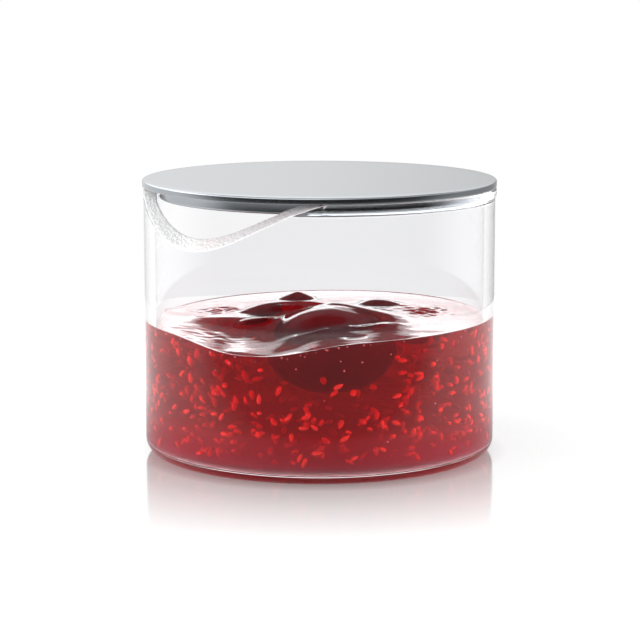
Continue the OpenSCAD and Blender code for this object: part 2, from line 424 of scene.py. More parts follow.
def rim_outline(size, turn):
    """The upper wall and bead, cut by the notch, from inside over the top to outside."""
    inner = POT_R - size.wall_t
    middle = POT_R - size.wall_t / 2
    bead = size.wall_t / 2 + size.bead_proud
    neck = math.degrees(math.acos((size.wall_t / 2 / bead) ** 2))
    seat = math.degrees(math.acos((size.seat_w / 2 / bead) ** 2))
    bead_z = POT_H - BEAD_HIGH * math.sqrt(math.sin(math.radians(seat)))
    path = [(inner, RIM_LOW)]
    path += bead_side(middle, bead_z, bead, BEAD_HIGH, 180 + neck, 180 - seat)
    path += bead_side(middle, bead_z, bead, BEAD_HIGH, seat, -neck) + [(POT_R, RIM_LOW)]
    path = np.array(path)
    along = np.concatenate([[0], np.cumsum(np.hypot(*np.diff(path, axis=0).T))])
    step = 0.05 * MM
    at = np.linspace(0, along[-1], int(along[-1] / step))
    path = np.stack([np.interp(at, along, path[:, i]) for i in (0, 1)], axis=1)
    top = np.flatnonzero(path[:, 1] > POT_H - 0.001 * MM)
    first, last = top[0], top[-1]
    height, fall, cut = notch_line(size, turn)
    if cut:
        over = np.flatnonzero(path[:, 1] > height - fall * (path[:, 0] - inner))
        if len(over) > 1:
            a, b = over[0], over[-1]
            line = np.linspace(path[a], path[b], b - a + 1)
            line[:, 1] = np.minimum(line[:, 1], POT_H)
            if b - a > last - first or path[a:b + 1, 1].max() - line[:, 1].max() > 0:
                spread = max(int(np.hypot(*(path[b] - path[a])) / step), 12)
                first, last = a, a + spread
                path = np.concatenate([path[:a], np.linspace(path[a], path[b], spread + 1),
                                       path[b + 1:]])
    reach, spread = 16, 5.0
    blur = np.exp(-np.arange(-reach, reach + 1) ** 2 / (2 * spread ** 2))
    blur /= blur.sum()
    path = np.stack([np.convolve(np.pad(path[:, i], reach, mode="reflect", reflect_type="odd"),
                                 blur, mode="valid") for i in (0, 1)], axis=1)
    path[:, 1] = np.minimum(path[:, 1], POT_H)
    half = min(7, (last - first) // 3)
    closing = 1.8
    rise = np.linspace(1, 0, WALL_POINTS, endpoint=False) ** closing
    marks = [(first - half) * (1 - rise),
             np.linspace(first - half, first + half, CORNER_POINTS, endpoint=False),
             np.linspace(first + half, last - half, FACE_POINTS, endpoint=False),
             np.linspace(last - half, last + half, CORNER_POINTS, endpoint=False),
             last + half + (len(path) - 1 - last - half)
             * np.linspace(0, 1, WALL_POINTS + 1) ** closing]
    marks = np.concatenate(marks)
    return np.stack([np.interp(marks, np.arange(len(path)), path[:, i]) for i in (0, 1)], axis=1)


class JAMPOT_OT_glass(bpy.types.Operator):
    """Spin the glass pot, grind the spoon notch into its rim and polish its edges"""
    bl_idname = "jampot.glass"
    bl_label = "Glass pot"

    def execute(self, context):
        size = context.scene.jam_pot_glass
        inner = POT_R - size.wall_t
        rim = rim_outline(size, math.pi)
        outline = [(r, BASE_T) for r in np.linspace(0, inner - size.inside_r, 5)[:-1]]
        outline += arc(inner - size.inside_r, BASE_T + size.inside_r, size.inside_r, -90, 0, 10)
        outline += [(inner, WALL_ROWS[1]), (inner, JAM_LEVEL)] + [tuple(p) for p in rim]
        outline += [(POT_R, z) for z in (*WALL_ROWS, size.foot_r + 0.3 * MM)]
        outline += arc(POT_R - size.foot_r, size.foot_r, size.foot_r, 0, -90, 12)
        outline += [(r, 0) for r in np.linspace(POT_R - size.foot_r, 0, 5)[1:]]
        pot = turned("pot_glass", outline)
        places = points_of(pot)
        r = np.hypot(places[:, 0], places[:, 1])
        turns = np.round(np.arctan2(places[:, 0], -places[:, 1]) * SECTORS / (2 * math.pi))
        near = ((r[:, None] - rim[:, 0]) ** 2 + (places[:, 2][:, None] - rim[:, 1]) ** 2)
        row = near.argmin(axis=1)
        in_rim = near.min(axis=1) < NEAR ** 2
        shapes = {turn: rim_outline(size, turn * 2 * math.pi / SECTORS) for turn in set(turns)}
        for i in np.flatnonzero(in_rim):
            new_r, new_z = shapes[turns[i]][row[i]]
            places[i] = (*(places[i, :2] * new_r / r[i]), new_z)
        line = (abs(r - inner) < NEAR) & (abs(places[:, 2] - JAM_LEVEL) < NEAR)
        places[line, 2] = jam_height(context.scene.jam_pot_jam, places[line, :2])
        set_points(pot, places)
        set_wet(pot, lambda at, facing: math.hypot(at.x, at.y) < inner + 0.1 * MM
                and BASE_T - 0.1 * MM < at.z < JAM_LEVEL + 1 * MM and facing.z > -0.5)
        for material in (
                clear_glass("clear_borosilicate_glass", size.tint, 1, 0),
                clear_glass("ground_glass_painted_shade_and_highlight", size.tint, 0.3, 0.25, ground=True),
                clear_glass("satin_pressed_glass_base", size.tint, 1, 0.3)):
            pot.data.materials.append(material)
        ground_and_highlight_slot, base_slot = 1, 2
        # The shoulder's pale frosted faces are a painted highlight along the rim's top
        cut = abs(turns) * 2 * math.pi / SECTORS < 0.9 * size.notch_half_angle
        ground = {i for i in np.flatnonzero(in_rim)
                  if row[i] in (FACE_ROWS if cut[i] else SHOULDER_HIGHLIGHT_ROWS)}
        for face in pot.data.polygons:
            if all(v in ground for v in face.vertices):
                face.material_index = ground_and_highlight_slot
            elif face.center.z < NEAR:
                face.material_index = base_slot
        smooth(pot, 60)
        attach(pot, "pot")
        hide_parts("glass_pot")
        return {"FINISHED"}


# Lid

# Radius of the sheet's small corners, distance from wall to ring, and play between the sheets
LIP_R = 0.15 * MM
RING_GAP = 1 * MM
SHEET_PLAY = 0.02 * MM


class JAMPOT_OT_lid(bpy.types.Operator):
    """Spin the lid's cap and the pan under it"""
    bl_idname = "jampot.lid"
    bl_label = "Steel lid"

    def execute(self, context):
        size = context.scene.jam_pot_lid
        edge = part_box("lid_cap")[1].x
        top = POT_H + size.cap_t + size.pan_t
        under = POT_H + size.pan_t
        corner = size.cap_edge_r
        cap = [(r * edge, under) for r in (0, 0.4, 0.8)] + [(edge - size.cap_t, under)]
        cap += arc(edge - size.cap_t + LIP_R, POT_H + LIP_R, LIP_R, 180, 270, 4)
        cap += arc(edge - LIP_R, POT_H + LIP_R, LIP_R, -90, 0, 4)
        cap += arc(edge - corner, top - corner, corner, 0, 90, 8)
        cap += [(r * edge, top) for r in (0.9, 0.7, 0.4, 0)]
        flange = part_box("lid_pan")[1].x
        ring = INNER_R - RING_GAP
        bend, low = size.pan_bend_r, POT_H - size.pan_drop
        inside = ring - size.pan_t
        flange_top = under - SHEET_PLAY
        pan = [(0, low), (0.5 * ring, low)]
        pan += arc(ring - bend, low + bend, bend, -90, 0, 8)
        pan += arc(ring + LIP_R, POT_H - LIP_R, LIP_R, 180, 90, 3)
        pan += [(flange, POT_H), (flange, flange_top), (inside, flange_top)]
        pan += arc(inside - bend / 2, low + size.pan_t + bend / 2, bend / 2, 0, -90, 5)
        pan += [(0.5 * ring, low + size.pan_t), (0, low + size.pan_t)]
        steel = brushed_steel(size.steel)
        for name, outline in (("cap", cap), ("pan", pan)):
            piece = turned("lid_" + name + "_steel", outline)
            piece.data.materials.append(steel)
            smooth(piece, 40)
            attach(piece, "lid")
            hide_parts("lid_" + name)
        return {"FINISHED"}


# Berries and jam

# A berry's width, height, rise over the level, turn from the notch in degrees and distance out
BERRIES = {
    "large_berry": (29 * MM, 22 * MM, 4.4 * MM, 55, 0.32 * INNER_R),
    "left_berry": (13 * MM, 10 * MM, 2.2 * MM, -55, 0.37 * INNER_R),
    "rear_berry": (13 * MM, 10 * MM, 2.2 * MM, -120, 0.57 * INNER_R),
    "right_berry": (13 * MM, 10 * MM, 2.2 * MM, 175, 0.48 * INNER_R),
}


def place(turn, out):
    """A point on the table, from a turn from the notch in degrees and a distance."""
    return np.array([math.sin(math.radians(turn)), -math.cos(math.radians(turn))]) * out


# The camera's side, and the way across that side to its right
TOWARDS = place(45, 1)
ACROSS = place(135, 1)


def berry_centre(berry):
    """A berry's middle."""
    width, height, rise, turn, out = berry
    return np.array([*place(turn, out), JAM_LEVEL + rise - height / 2])


# Mounds that slope to the wall in front. Each has its middle across, its crest towards the
# camera's side, how steeply it falls to the left and right, how round its crest is and how
# far it leans to the left on the way to the wall
MOUNDS = (
    (-15 * MM, 0 * MM, 0.60, 0.30, 7 * MM, 0.15),
    (1 * MM, 13 * MM, 0.60, 0.45, 9 * MM, 0.0),
    (19 * MM, 25 * MM, 0.60, 0.60, 8 * MM, 0.0),
)
# Domes: middle across and towards, top, and slope to the left, right, back and front
DOMES = (
    (4 * MM, 8 * MM, 43.6 * MM, 0.36, 0.22, 0.50, 0.34),
    (-6.5 * MM, -24 * MM, 41.7 * MM, 0.70, 0.55, 0.90, 0.60),
    (17 * MM, -12 * MM, 41.1 * MM, 0.30, 0.25, 0.50, 0.42),
)
# Folds of the skin: middle across and towards, half length, half width and height
FOLDS = (
    (-18 * MM, 12 * MM, 5 * MM, 1.5 * MM, 0.75 * MM),
    (-9 * MM, 3 * MM, 6 * MM, 1.6 * MM, 0.50 * MM),
    (-2 * MM, 30 * MM, 4.5 * MM, 1.8 * MM, 0.40 * MM),
    (13 * MM, 27.5 * MM, 6 * MM, 1.6 * MM, 0.40 * MM),
    (9.5 * MM, 37 * MM, 2.4 * MM, 1.5 * MM, -0.30 * MM),
)
# Crumpled places: middle across and towards, reach and height of the ripples
CRUMPLES = (
    (-28 * MM, -8 * MM, 6 * MM, 0.40 * MM),
    (-32 * MM, 22 * MM, 8 * MM, 0.07 * MM),
    (30 * MM, 0 * MM, 7 * MM, 0.40 * MM),
)


def waves(across, towards, length, seed):
    """Irregular ripples from -1 to 1 of about the given length, twice as long across."""
    draw = np.random.default_rng(seed)
    total = 0
    count = 9
    for _ in range(count):
        turn, phase = draw.uniform(0, 2 * math.pi, 2)
        wave = 2 * math.pi / (length * draw.uniform(0.7, 1.5))
        total = total + np.sin(wave * (0.5 * across * math.cos(turn) + towards * math.sin(turn))
                               + phase)
    return total / 4


def fall(distance, low, high, crest):
    """How far a slope has fallen at a distance from a rounded crest, on its two sides."""
    steep = np.where(distance < 0, low, high)
    return steep * (np.hypot(distance, crest) - crest)


def step_down(distance, at, spread):
    """A soft step from 1 before a place to 0 behind it."""
    return 1 / (1 + np.exp((distance - at) / spread))


def jam_level(size, spots):
    """Height of the undisturbed jam: higher in the middle, with a hollow scooped by the notch."""
    out = np.hypot(*spots.T) / INNER_R
    hollow = spots - place(22, INNER_R)
    dip = np.hypot(*hollow.T) / size.scoop_w
    lean = (0.69 * spots @ ACROSS - 0.14 * spots @ TOWARDS) / INNER_R
    level = JAM_LEVEL + 0.06 * MM + lean * MM + size.bulge * (1 - out ** 2)
    return level - size.scoop_depth * np.exp(-dip ** 2.54)


def jam_height(size, spots):
    """Height of the jam's surface over rows of places: hollow, mounds, folds and berries."""
    across = spots @ ACROSS
    towards = spots @ TOWARDS
    out = np.hypot(*spots.T) / INNER_R
    level = jam_level(size, spots)
    # The front shore: the jam's height where the wall stands in front of each place
    wall = np.sqrt(np.maximum(INNER_R ** 2 - across ** 2, 0))
    at_wall = np.outer(across, ACROSS) + np.outer(wall, TOWARDS)
    back = wall - towards
    shore = jam_level(size, at_wall)
    # A nearly flat beach at the far left, and an apron that climbs back from the wall. On the
    # left the apron is flatter, climbs late and sinks the level. Its slopes are fitted
    left = step_down(across, -27 * MM, 1.2 * MM) * step_down(back, 27 * MM, 3 * MM)
    level = level + left * (shore + 0.045 * back - level)
    flat = step_down(across + 0.3 * towards, 1 * MM, 2.5 * MM)
    late = 2.5 * MM * np.logaddexp(0, (back - 26 * MM) / (2.5 * MM))
    apron = shore + (0.115 - 0.066 * flat) * back + 0.25 * flat * late
    apron = apron + (0.8 - 0.6 * flat) * back ** 2 + 6 * back ** 3
    sunk = flat * step_down(back, 29 * MM, 2 * MM) * (1 - left)
    level = level + sunk * (np.minimum(apron, level) - level)
    # The highest of all the forms wins, and they blend over the drape's height
    film, drape = 0.3 * MM, 0.5 * MM
    dome_round, crest_round = 0.9 * MM, 0.5 * MM
    heights = [level]
    for a, t, left, right, crest, spread in MOUNDS:
        y = towards - t
        x = across - a + spread * np.maximum(y, 0)
        behind = np.hypot(np.minimum(y, 0), crest_round) - crest_round
        heights.append(apron - fall(x, left, right, crest) - 0.8 * behind)
    for a, t, top, left, right, back_slope, front_slope in DOMES:
        x, y = across - a, towards - t
        away = np.hypot(np.where(x < 0, left, right) * x,
                        np.where(y < 0, back_slope, front_slope) * y)
        heights.append(top - np.hypot(away, dome_round) + dome_round)
    for berry in BERRIES.values():
        middle = berry_centre(berry)
        w, h = berry[0] / 2 * 1.12 + film, berry[1] / 2 + film
        d = np.hypot(*(spots - middle[:2]).T) / w
        heights.append(np.where(d < 1, middle[2] + h * np.sqrt(np.maximum(1 - d ** 2, 0)), 0))
    heights = np.array(heights)
    highest = heights.max(axis=0)
    surface = highest + drape * np.log(np.exp((heights - highest) / drape).sum(axis=0))
    for a, t, half_l, half_w, step in FOLDS:
        surface = surface + step * np.exp(-((across - a) / half_l) ** 4
                                          - ((towards - t) / half_w) ** 2)
    # Ripples all over, finer ones in the crumpled places, and all of them gone at the wall
    near = sum(high * np.exp(-((across - a) ** 2 + (towards - t) ** 2) / reach ** 2)
               for a, t, reach, high in CRUMPLES)
    relief = (0.04 - 0.025 * sunk) * MM * waves(across, towards, 9 * MM, 3)
    relief = relief + (0.005 * MM + near) * waves(across, towards, 2.6 * MM, 8)
    edge = np.clip((1 - out) * INNER_R / (3 * MM), 0, 1)
    ease = edge ** 2 * (3 - 2 * edge)
    surface = level + (surface - level + relief) * ease
    return surface + size.meniscus_h * np.exp(-(1 - out) * INNER_R / (0.5 * MM))


def drape_surface(piece, size, base, under):
    """Stretches a piece above its base up to a small depth under the jam's surface."""
    places = points_of(piece)
    places[:, 2] += under * (places[:, 2] < base)
    above = places[:, 2] > base + NEAR
    share = (places[above, 2] - base) / (JAM_LEVEL - base)
    places[above, 2] = base + share * (jam_height(size, places[above, :2]) - under - base)
    set_points(piece, places)


# A berry's shape: how much wider it is low down, and the size and depth of its wrinkles
BERRY_DROOP = 0.12
WRINKLES = 0.16 * PER_MM
SHRINK, WRINKLE_DEPTH = 0.975, 0.02
# Berries narrower than this are raspberries
SMALL_BERRY = 20 * MM


class JAMPOT_OT_berries(bpy.types.Operator):
    """Turn the whole berries and wrinkle their skins"""
    bl_idname = "jampot.berries"
    bl_label = "Berries"

    def execute(self, context):
        fruit = context.scene.jam_pot_jam.fruit
        skins = (berry_skin("cooked_cherry_skin", fruit),
                 berry_skin("cooked_raspberry_skin", [min(1.8 * c, 1) for c in fruit]))
        for name, berry in BERRIES.items():
            width, height = berry[:2]
            steps = 32
            angles = [math.pi * i / steps for i in range(steps + 1)]
            outline = [(width / 2 * math.sin(a) * (1 - BERRY_DROOP * math.cos(a)),
                        -height / 2 * math.cos(a)) for a in angles]
            piece = turned(name + "_fruit", outline, 2 * steps)
            places = points_of(piece)
            for i, p in enumerate(places):
                spot = Vector(p) * WRINKLES + Vector((berry[3], 0, 0))
                fold = noise.fractal(spot, 1, 2, 3)
                places[i] = p * (SHRINK + WRINKLE_DEPTH * fold)
            set_points(piece, places + berry_centre(berry))
            piece.data.materials.append(skins[width < SMALL_BERRY])
            smooth(piece, 60)
            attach(piece, "pot")
            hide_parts(name)
        return {"FINISHED"}


# Play between jelly and glass, how far inside it the fine pulp starts, and that pulp's density
JELLY_PLAY = 0.01 * MM
PULP_DEPTH = 0.05 * MM
PULP_DENSITY = 14
# Layers of settled pulp: name, material, how far inside the jam, height at the wall and density
SETTLED = (
    ("jam_pulp_settling", "settling_berry_pulp", 0.10 * MM, 23 * MM, 10),
    ("jam_pulp_settled", "settled_berry_pulp", 0.15 * MM, 12 * MM, 60),
)
# How much higher a settled layer lies in the middle, and the points of its top and its sectors
LAYER_CROWN = 3 * MM
LAYER_POINTS = 24
LAYER_SECTORS = 96


class JAMPOT_OT_jam(bpy.types.Operator):
    """Spin the jam, then ripple its surface and drape it over the berries"""
    bl_idname = "jampot.jam"
    bl_label = "Jam"

    def execute(self, context):
        size = context.scene.jam_pot_jam
        inside = context.scene.jam_pot_glass.inside_r
        edge, low = INNER_R - JELLY_PLAY, BASE_T + JELLY_PLAY
        base = low + inside
        rings = 120
        outline = [(r, low) for r in np.linspace(0, edge - inside, 5)[:-1]]
        outline += arc(edge - inside, low + inside, inside, -90, 0, 8)
        outline += [(edge, z) for z in np.linspace(base, JAM_LEVEL, 6)[1:-1]]
        outline += [(edge * (1 - i / rings), JAM_LEVEL) for i in range(rings + 1)]
        jam = turned("jam_jelly", outline)
        drape_surface(jam, size, base, 0)
        set_wet(jam, lambda at, facing: facing.z < 0.1
                or math.hypot(at.x, at.y) > edge - 0.05 * MM)
        jam.data.materials.append(jelly(size.gel))
        smooth(jam, 50)
        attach(jam, "pot")
        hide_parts("jam_gel")
        cloud = turned("jam_pulp", [(max(r - PULP_DEPTH, 0), z) for r, z in outline])
        drape_surface(cloud, size, base, PULP_DEPTH)
        clouds = [(cloud, "fine_berry_pulp", PULP_DENSITY)]
        for name, material, depth, at_wall, density in SETTLED:
            r = edge - depth
            low_z = low + depth
            layer = [(0, low_z), (0.5 * r, low_z)]
            layer += arc(r - inside, low_z + inside, inside, -90, 0, 8)
            layer += [(r * math.sqrt(1 - share), at_wall + LAYER_CROWN * share)
                      for share in np.linspace(0, 1, LAYER_POINTS + 1)]
            clouds.append((turned(name, layer, LAYER_SECTORS), material, density))
        for cloud, material, density in clouds:
            cloud.data.materials.append(pulp_cloud(material, density))
            smooth(cloud, 50)
            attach(cloud, "pot")
        return {"FINISHED"}


# Half sizes of a seed, and its clearance from the wall, and from the base and the surface
SEED_HALF = (0.85 * MM, 0.65 * MM, 1.4 * MM)
SEED_BESIDE, SEED_ALONG = 0.95 * MM, 1.7 * MM
# The share of seeds that lies by the wall, and where that band starts, as a share of the area
WALL_SHARE, WALL_BAND = 0.25, 0.8
# The share of seeds left out at the top, from none at half height, and in front of the large
# berry, with that place's half width and its height over the table
TOP_LOSS, FRONT_LOSS = 0.85, 0.93
FRONT_HALF_W, FRONT_LOW = 17 * MM, 19 * MM


class JAMPOT_OT_seeds(bpy.types.Operator):
    """Model one seed and scatter its copies through the jam as one piece"""
    bl_idname = "jampot.seeds"
    bl_label = "Seeds"

    def execute(self, context):
        size = context.scene.jam_pot_jam
        deselect()
        bpy.ops.mesh.primitive_uv_sphere_add(segments=6, ring_count=5, radius=1)
        piece = bpy.context.object
        piece.name = "jam_seeds"
        one = points_of(piece)
        one[:, :2] *= (1 - 0.25 * one[:, 2:])
        one *= SEED_HALF
        draw = random.Random(11)
        along = SEED_ALONG
        fruit = berry_centre(BERRIES["large_berry"])
        copies = []
        while len(copies) < size.seeds:
            near_wall = draw.random() < WALL_SHARE
            least = WALL_BAND if near_wall else 0
            out = (INNER_R - SEED_BESIDE) * math.sqrt(draw.uniform(least, 1))
            turn = draw.uniform(-180, 180)
            spot = place(turn, out)
            top = float(jam_height(size, spot[None])[0]) - along
            share = draw.random()
            point = np.array([*spot, BASE_T + along + (top - BASE_T - along) * share])
            kept = draw.random() > TOP_LOSS * max(share - 0.5, 0) / 0.5
            clear = all(np.linalg.norm((point - berry_centre(b)) / (b[0] / 2 + along,
                        b[0] / 2 + along, b[1] / 2 + along)) > 1 for b in BERRIES.values())
            offset = (point[:2] - fruit[:2]) @ np.stack([ACROSS, TOWARDS], axis=1)
            hides = abs(offset[0]) < FRONT_HALF_W and offset[1] > 0 and point[2] > FRONT_LOW
            if not kept or not clear or hides and draw.random() < FRONT_LOSS:
                continue
            facing = np.array([draw.gauss(0, 1) for _ in range(3)])
            if out > INNER_R - along:
                facing[:2] -= place(turn, 1) * (facing[:2] @ place(turn, 1))
            aim = np.array(Vector(facing).to_track_quat("Z", "Y").to_matrix())
            copies.append(one @ aim.T * draw.uniform(0.8, 1.1) + point)
        merge_copies(piece, copies)
        piece.data.materials.append(seed_husk(size.seed))
        smooth(piece, 80)
        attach(piece, "pot")
        return {"FINISHED"}


# Bubbles: their radii, and their clearance from the wall, the base and the surface
BUBBLE_SMALL, BUBBLE_LARGE = 0.14 * MM, 0.32 * MM
BUBBLE_IN, BUBBLE_UP, BUBBLE_UNDER = 0.3 * MM, 3 * MM, 0.5 * MM
# The higher this is, the more of them lie close under the surface
BUBBLE_CROWD = 7


class JAMPOT_OT_bubbles(bpy.types.Operator):
    """Scatter small air bubbles along the wall, most of them just under the surface"""
    bl_idname = "jampot.bubbles"
    bl_label = "Bubbles"

    def execute(self, context):
        size = context.scene.jam_pot_jam
        draw = random.Random(5)
        deselect()
        bpy.ops.mesh.primitive_uv_sphere_add(segments=10, ring_count=8, radius=1)
        piece = bpy.context.object
        piece.name = "jam_bubbles"
        one = points_of(piece)
        copies = []
        for _ in range(size.bubbles):
            radius = draw.uniform(BUBBLE_SMALL, BUBBLE_LARGE)
            spot = place(draw.uniform(-180, 180), INNER_R - radius - BUBBLE_IN)
            top = float(jam_height(size, spot[None])[0]) - BUBBLE_UNDER
            low = BASE_T + BUBBLE_UP
            height = low + (top - low) * (1 - draw.random() ** BUBBLE_CROWD)
            copies.append(one * radius + (*spot, height))
        merge_copies(piece, copies)
        piece.data.materials.append(bubble_painted_reflection())
        smooth(piece, 80)
        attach(piece, "pot")
        return {"FINISHED"}


# Stage

# The camera: the point it aims at, its distance from it, and its turn and tilt
AIM = Vector((0, 0, 40 * MM))
CAMERA_AWAY = 682 * MM
CAMERA_TURN = math.radians(45)
CAMERA_TILT = math.radians(9.214)
FOCAL_LENGTH, SENSOR_WIDTH = 134.66, 36
SHIFT_ACROSS, SHIFT_UP = 0.0009, -0.0155
# Grey levels of the studio as pairs of place and level. From behind the pot to the camera
FRONT_GREYS = ((0.0, 1.0), (0.40, 1.0), (0.55, 0.6), (0.66, 0.16), (0.78, 0.03), (0.9, 0.003),
               (1.0, 0.003))
# From the left to the right
SIDE_GREYS = ((0.0, 1.0), (0.43, 0.93), (0.5, 0.88), (0.57, 0.74), (1.0, 0.4))
# From the horizon up: the softboxes overhead
SOFTBOX_GREYS = ((0.05, 0.36), (0.16, 0.37), (0.26, 0.8), (0.55, 1.0), (0.75, 0.3), (1.0, 0.15))
# From the horizon up: the window that the jam's wet surface mirrors
WINDOW_GREYS = ((0.0, 0.44), (0.01, 0.75), (0.27, 0.75), (0.29, 0.3), (0.33, 0.22), (0.36, 0.02),
                (1.0, 0.02))
# From straight behind to the side: a grey card on each side, which draws the glass's edges
CARD_GREYS = ((0.40, 1.0), (0.52, 0.45), (0.56, 0.45), (0.62, 1.0))
# Levels that lift the softboxes and the window, and the world's level for soft light
SOFTBOX_LEVEL = 2.6
WINDOW_LEVEL = 3.6
SOFT_LEVEL = 0.95
# What a second mirror image keeps of its light
SECOND_IMAGE = 0.15


def studio_world(scene):
    """White to the eye and through glass. What shines sees a studio, dark by the camera."""
    world = bpy.data.worlds.new("studio")
    scene.world = world
    world.use_nodes = True
    world.cycles.sampling_method = "NONE"
    tree = world.node_tree
    tree.nodes.clear()
    path = add_node(tree, "ShaderNodeLightPath")
    ray = add_node(tree, "ShaderNodeTexCoord")
    front = (0.94 * math.sin(CAMERA_TURN), -0.94 * math.cos(CAMERA_TURN), 0.34)
    right = (math.cos(CAMERA_TURN), math.sin(CAMERA_TURN), 0)
    ahead = add_node(tree, "ShaderNodeVectorMath", {"operation": "DOT_PRODUCT", 1: front},
                     {0: ray.outputs["Generated"]})
    share = add_node(tree, "ShaderNodeMapRange", {"From Min": -1.0, "From Max": 1.0},
                     {"Value": ahead.outputs["Value"]})
    ramp = add_node(tree, "ShaderNodeValToRGB", (), {0: share.outputs[0]})
    set_greys(ramp, FRONT_GREYS)
    side = add_node(tree, "ShaderNodeVectorMath", {"operation": "DOT_PRODUCT", 1: right},
                    {0: ray.outputs["Generated"]})
    across = add_node(tree, "ShaderNodeMapRange", {"From Min": -0.5, "From Max": 0.5},
                      {"Value": side.outputs["Value"]})
    tilt = add_node(tree, "ShaderNodeValToRGB", (), {0: across.outputs[0]})
    set_greys(tilt, SIDE_GREYS)
    sides = add_node(tree, "ShaderNodeMix", {"data_type": "FLOAT", 3: 0.88},
                     {0: path.outputs["Is Transmission Ray"], 2: tilt.outputs[0]})
    # Rays that come out through the glass after a mirror image find the front darker still
    lid_side = add_node(tree, "ShaderNodeMapRange", {"From Min": 0.2, "From Max": 0.6,
                        "To Min": 1.0, "To Max": 0.02}, {"Value": share.outputs[0]})
    behind = add_node(tree, "ShaderNodeMix", {"data_type": "FLOAT", 2: 1.0},
                      {0: path.outputs["Is Transmission Ray"], 3: lid_side.outputs[0]})
    # The front is dark only near the horizon, so the lid's top stays bright from all sides
    height = add_node(tree, "ShaderNodeSeparateXYZ", (), {0: ray.outputs["Generated"]})
    dark_low = add_node(tree, "ShaderNodeMath", {"operation": "MULTIPLY"},
                        {0: ramp.outputs[0], 1: behind.outputs[0]})
    above = add_node(tree, "ShaderNodeMapRange", {"From Min": 0.06, "From Max": 0.2},
                     {"Value": height.outputs["Z"]})
    all_round = add_node(tree, "ShaderNodeMix", {"data_type": "FLOAT", 3: 0.9},
                         {0: above.outputs[0], 2: dark_low.outputs[0]})
    round_about = add_node(tree, "ShaderNodeMath", {"operation": "MULTIPLY"},
                           {0: all_round.outputs[0], 1: sides.outputs[0]})
    boxes = add_node(tree, "ShaderNodeValToRGB", (), {0: height.outputs["Z"]})
    set_greys(boxes, SOFTBOX_GREYS)
    lift = add_node(tree, "ShaderNodeMath", {"operation": "MULTIPLY", 1: SOFTBOX_LEVEL},
                    {0: boxes.outputs[0]})
    shine = add_node(tree, "ShaderNodeMath", {"operation": "MULTIPLY"},
                     {0: round_about.outputs[0], 1: lift.outputs[0]})
    reflected = add_node(tree, "ShaderNodeMath", {"operation": "GREATER_THAN", 1: 0.5},
                         {0: path.outputs["Glossy Depth"]})
    window = add_node(tree, "ShaderNodeValToRGB", (), {0: height.outputs["Z"]})
    set_greys(window, WINDOW_GREYS)
    open_side = add_node(tree, "ShaderNodeMath", {"operation": "MULTIPLY", 1: WINDOW_LEVEL},
                         {0: window.outputs[0]})
    inside = add_node(tree, "ShaderNodeMix", {"data_type": "FLOAT", 2: 1.0},
                      {0: path.outputs["Is Transmission Ray"], 3: open_side.outputs[0]})
    again = add_node(tree, "ShaderNodeMapRange", {"From Min": 1.0, "From Max": 2.0,
                     "To Min": 1.0, "To Max": SECOND_IMAGE},
                     {"Value": path.outputs["Glossy Depth"]})
    dimmed = add_node(tree, "ShaderNodeMath", {"operation": "MULTIPLY"},
                      {0: inside.outputs[0], 1: again.outputs[0]})
    bright = add_node(tree, "ShaderNodeMath", {"operation": "MULTIPLY"},
                      {0: shine.outputs[0], 1: dimmed.outputs[0]})
    off_side = add_node(tree, "ShaderNodeMath", {"operation": "ABSOLUTE"},
                        {0: side.outputs["Value"]})
    card = add_node(tree, "ShaderNodeValToRGB", (), {0: off_side.outputs[0]})
    set_greys(card, CARD_GREYS)
    through = add_node(tree, "ShaderNodeMath", {"operation": "MAXIMUM"},
                       {0: card.outputs[0], 1: path.outputs["Is Camera Ray"]})
    seen = add_node(tree, "ShaderNodeMix", {"data_type": "FLOAT"},
                    {0: reflected.outputs[0], 2: through.outputs[0], 3: bright.outputs[0]})
    level = add_node(tree, "ShaderNodeMix", {"data_type": "FLOAT", 3: SOFT_LEVEL},
                     {0: path.outputs["Is Diffuse Ray"], 2: seen.outputs[0]})
    light = add_node(tree, "ShaderNodeBackground", {"Color": (1, 1, 1, 1)},
                     {"Strength": level.outputs[0]})
    output = add_node(tree, "ShaderNodeOutputWorld")
    tree.links.new(light.outputs[0], output.inputs[0])


# How far the table shows a mirror image, how strong it is close to the pot and how rough
MIRROR_NEAR, MIRROR_FAR = 50 * MM, 115 * MM
MIRROR_SHARE = 0.6
MIRROR_ROUGH = 0.12
# Where mirror images find the table in front darker, and what it keeps of its light there
DARK_NEAR, DARK_FAR = 55 * MM, 110 * MM
DARK_SHARE = 0.08
# The soft shadow under the pot: where it starts and ends, and the glow inside and outside it
SHADOW_NEAR, SHADOW_FAR = 43 * MM, 54 * MM
SHADOW_GLOW, OPEN_GLOW = 0.2, 0.82


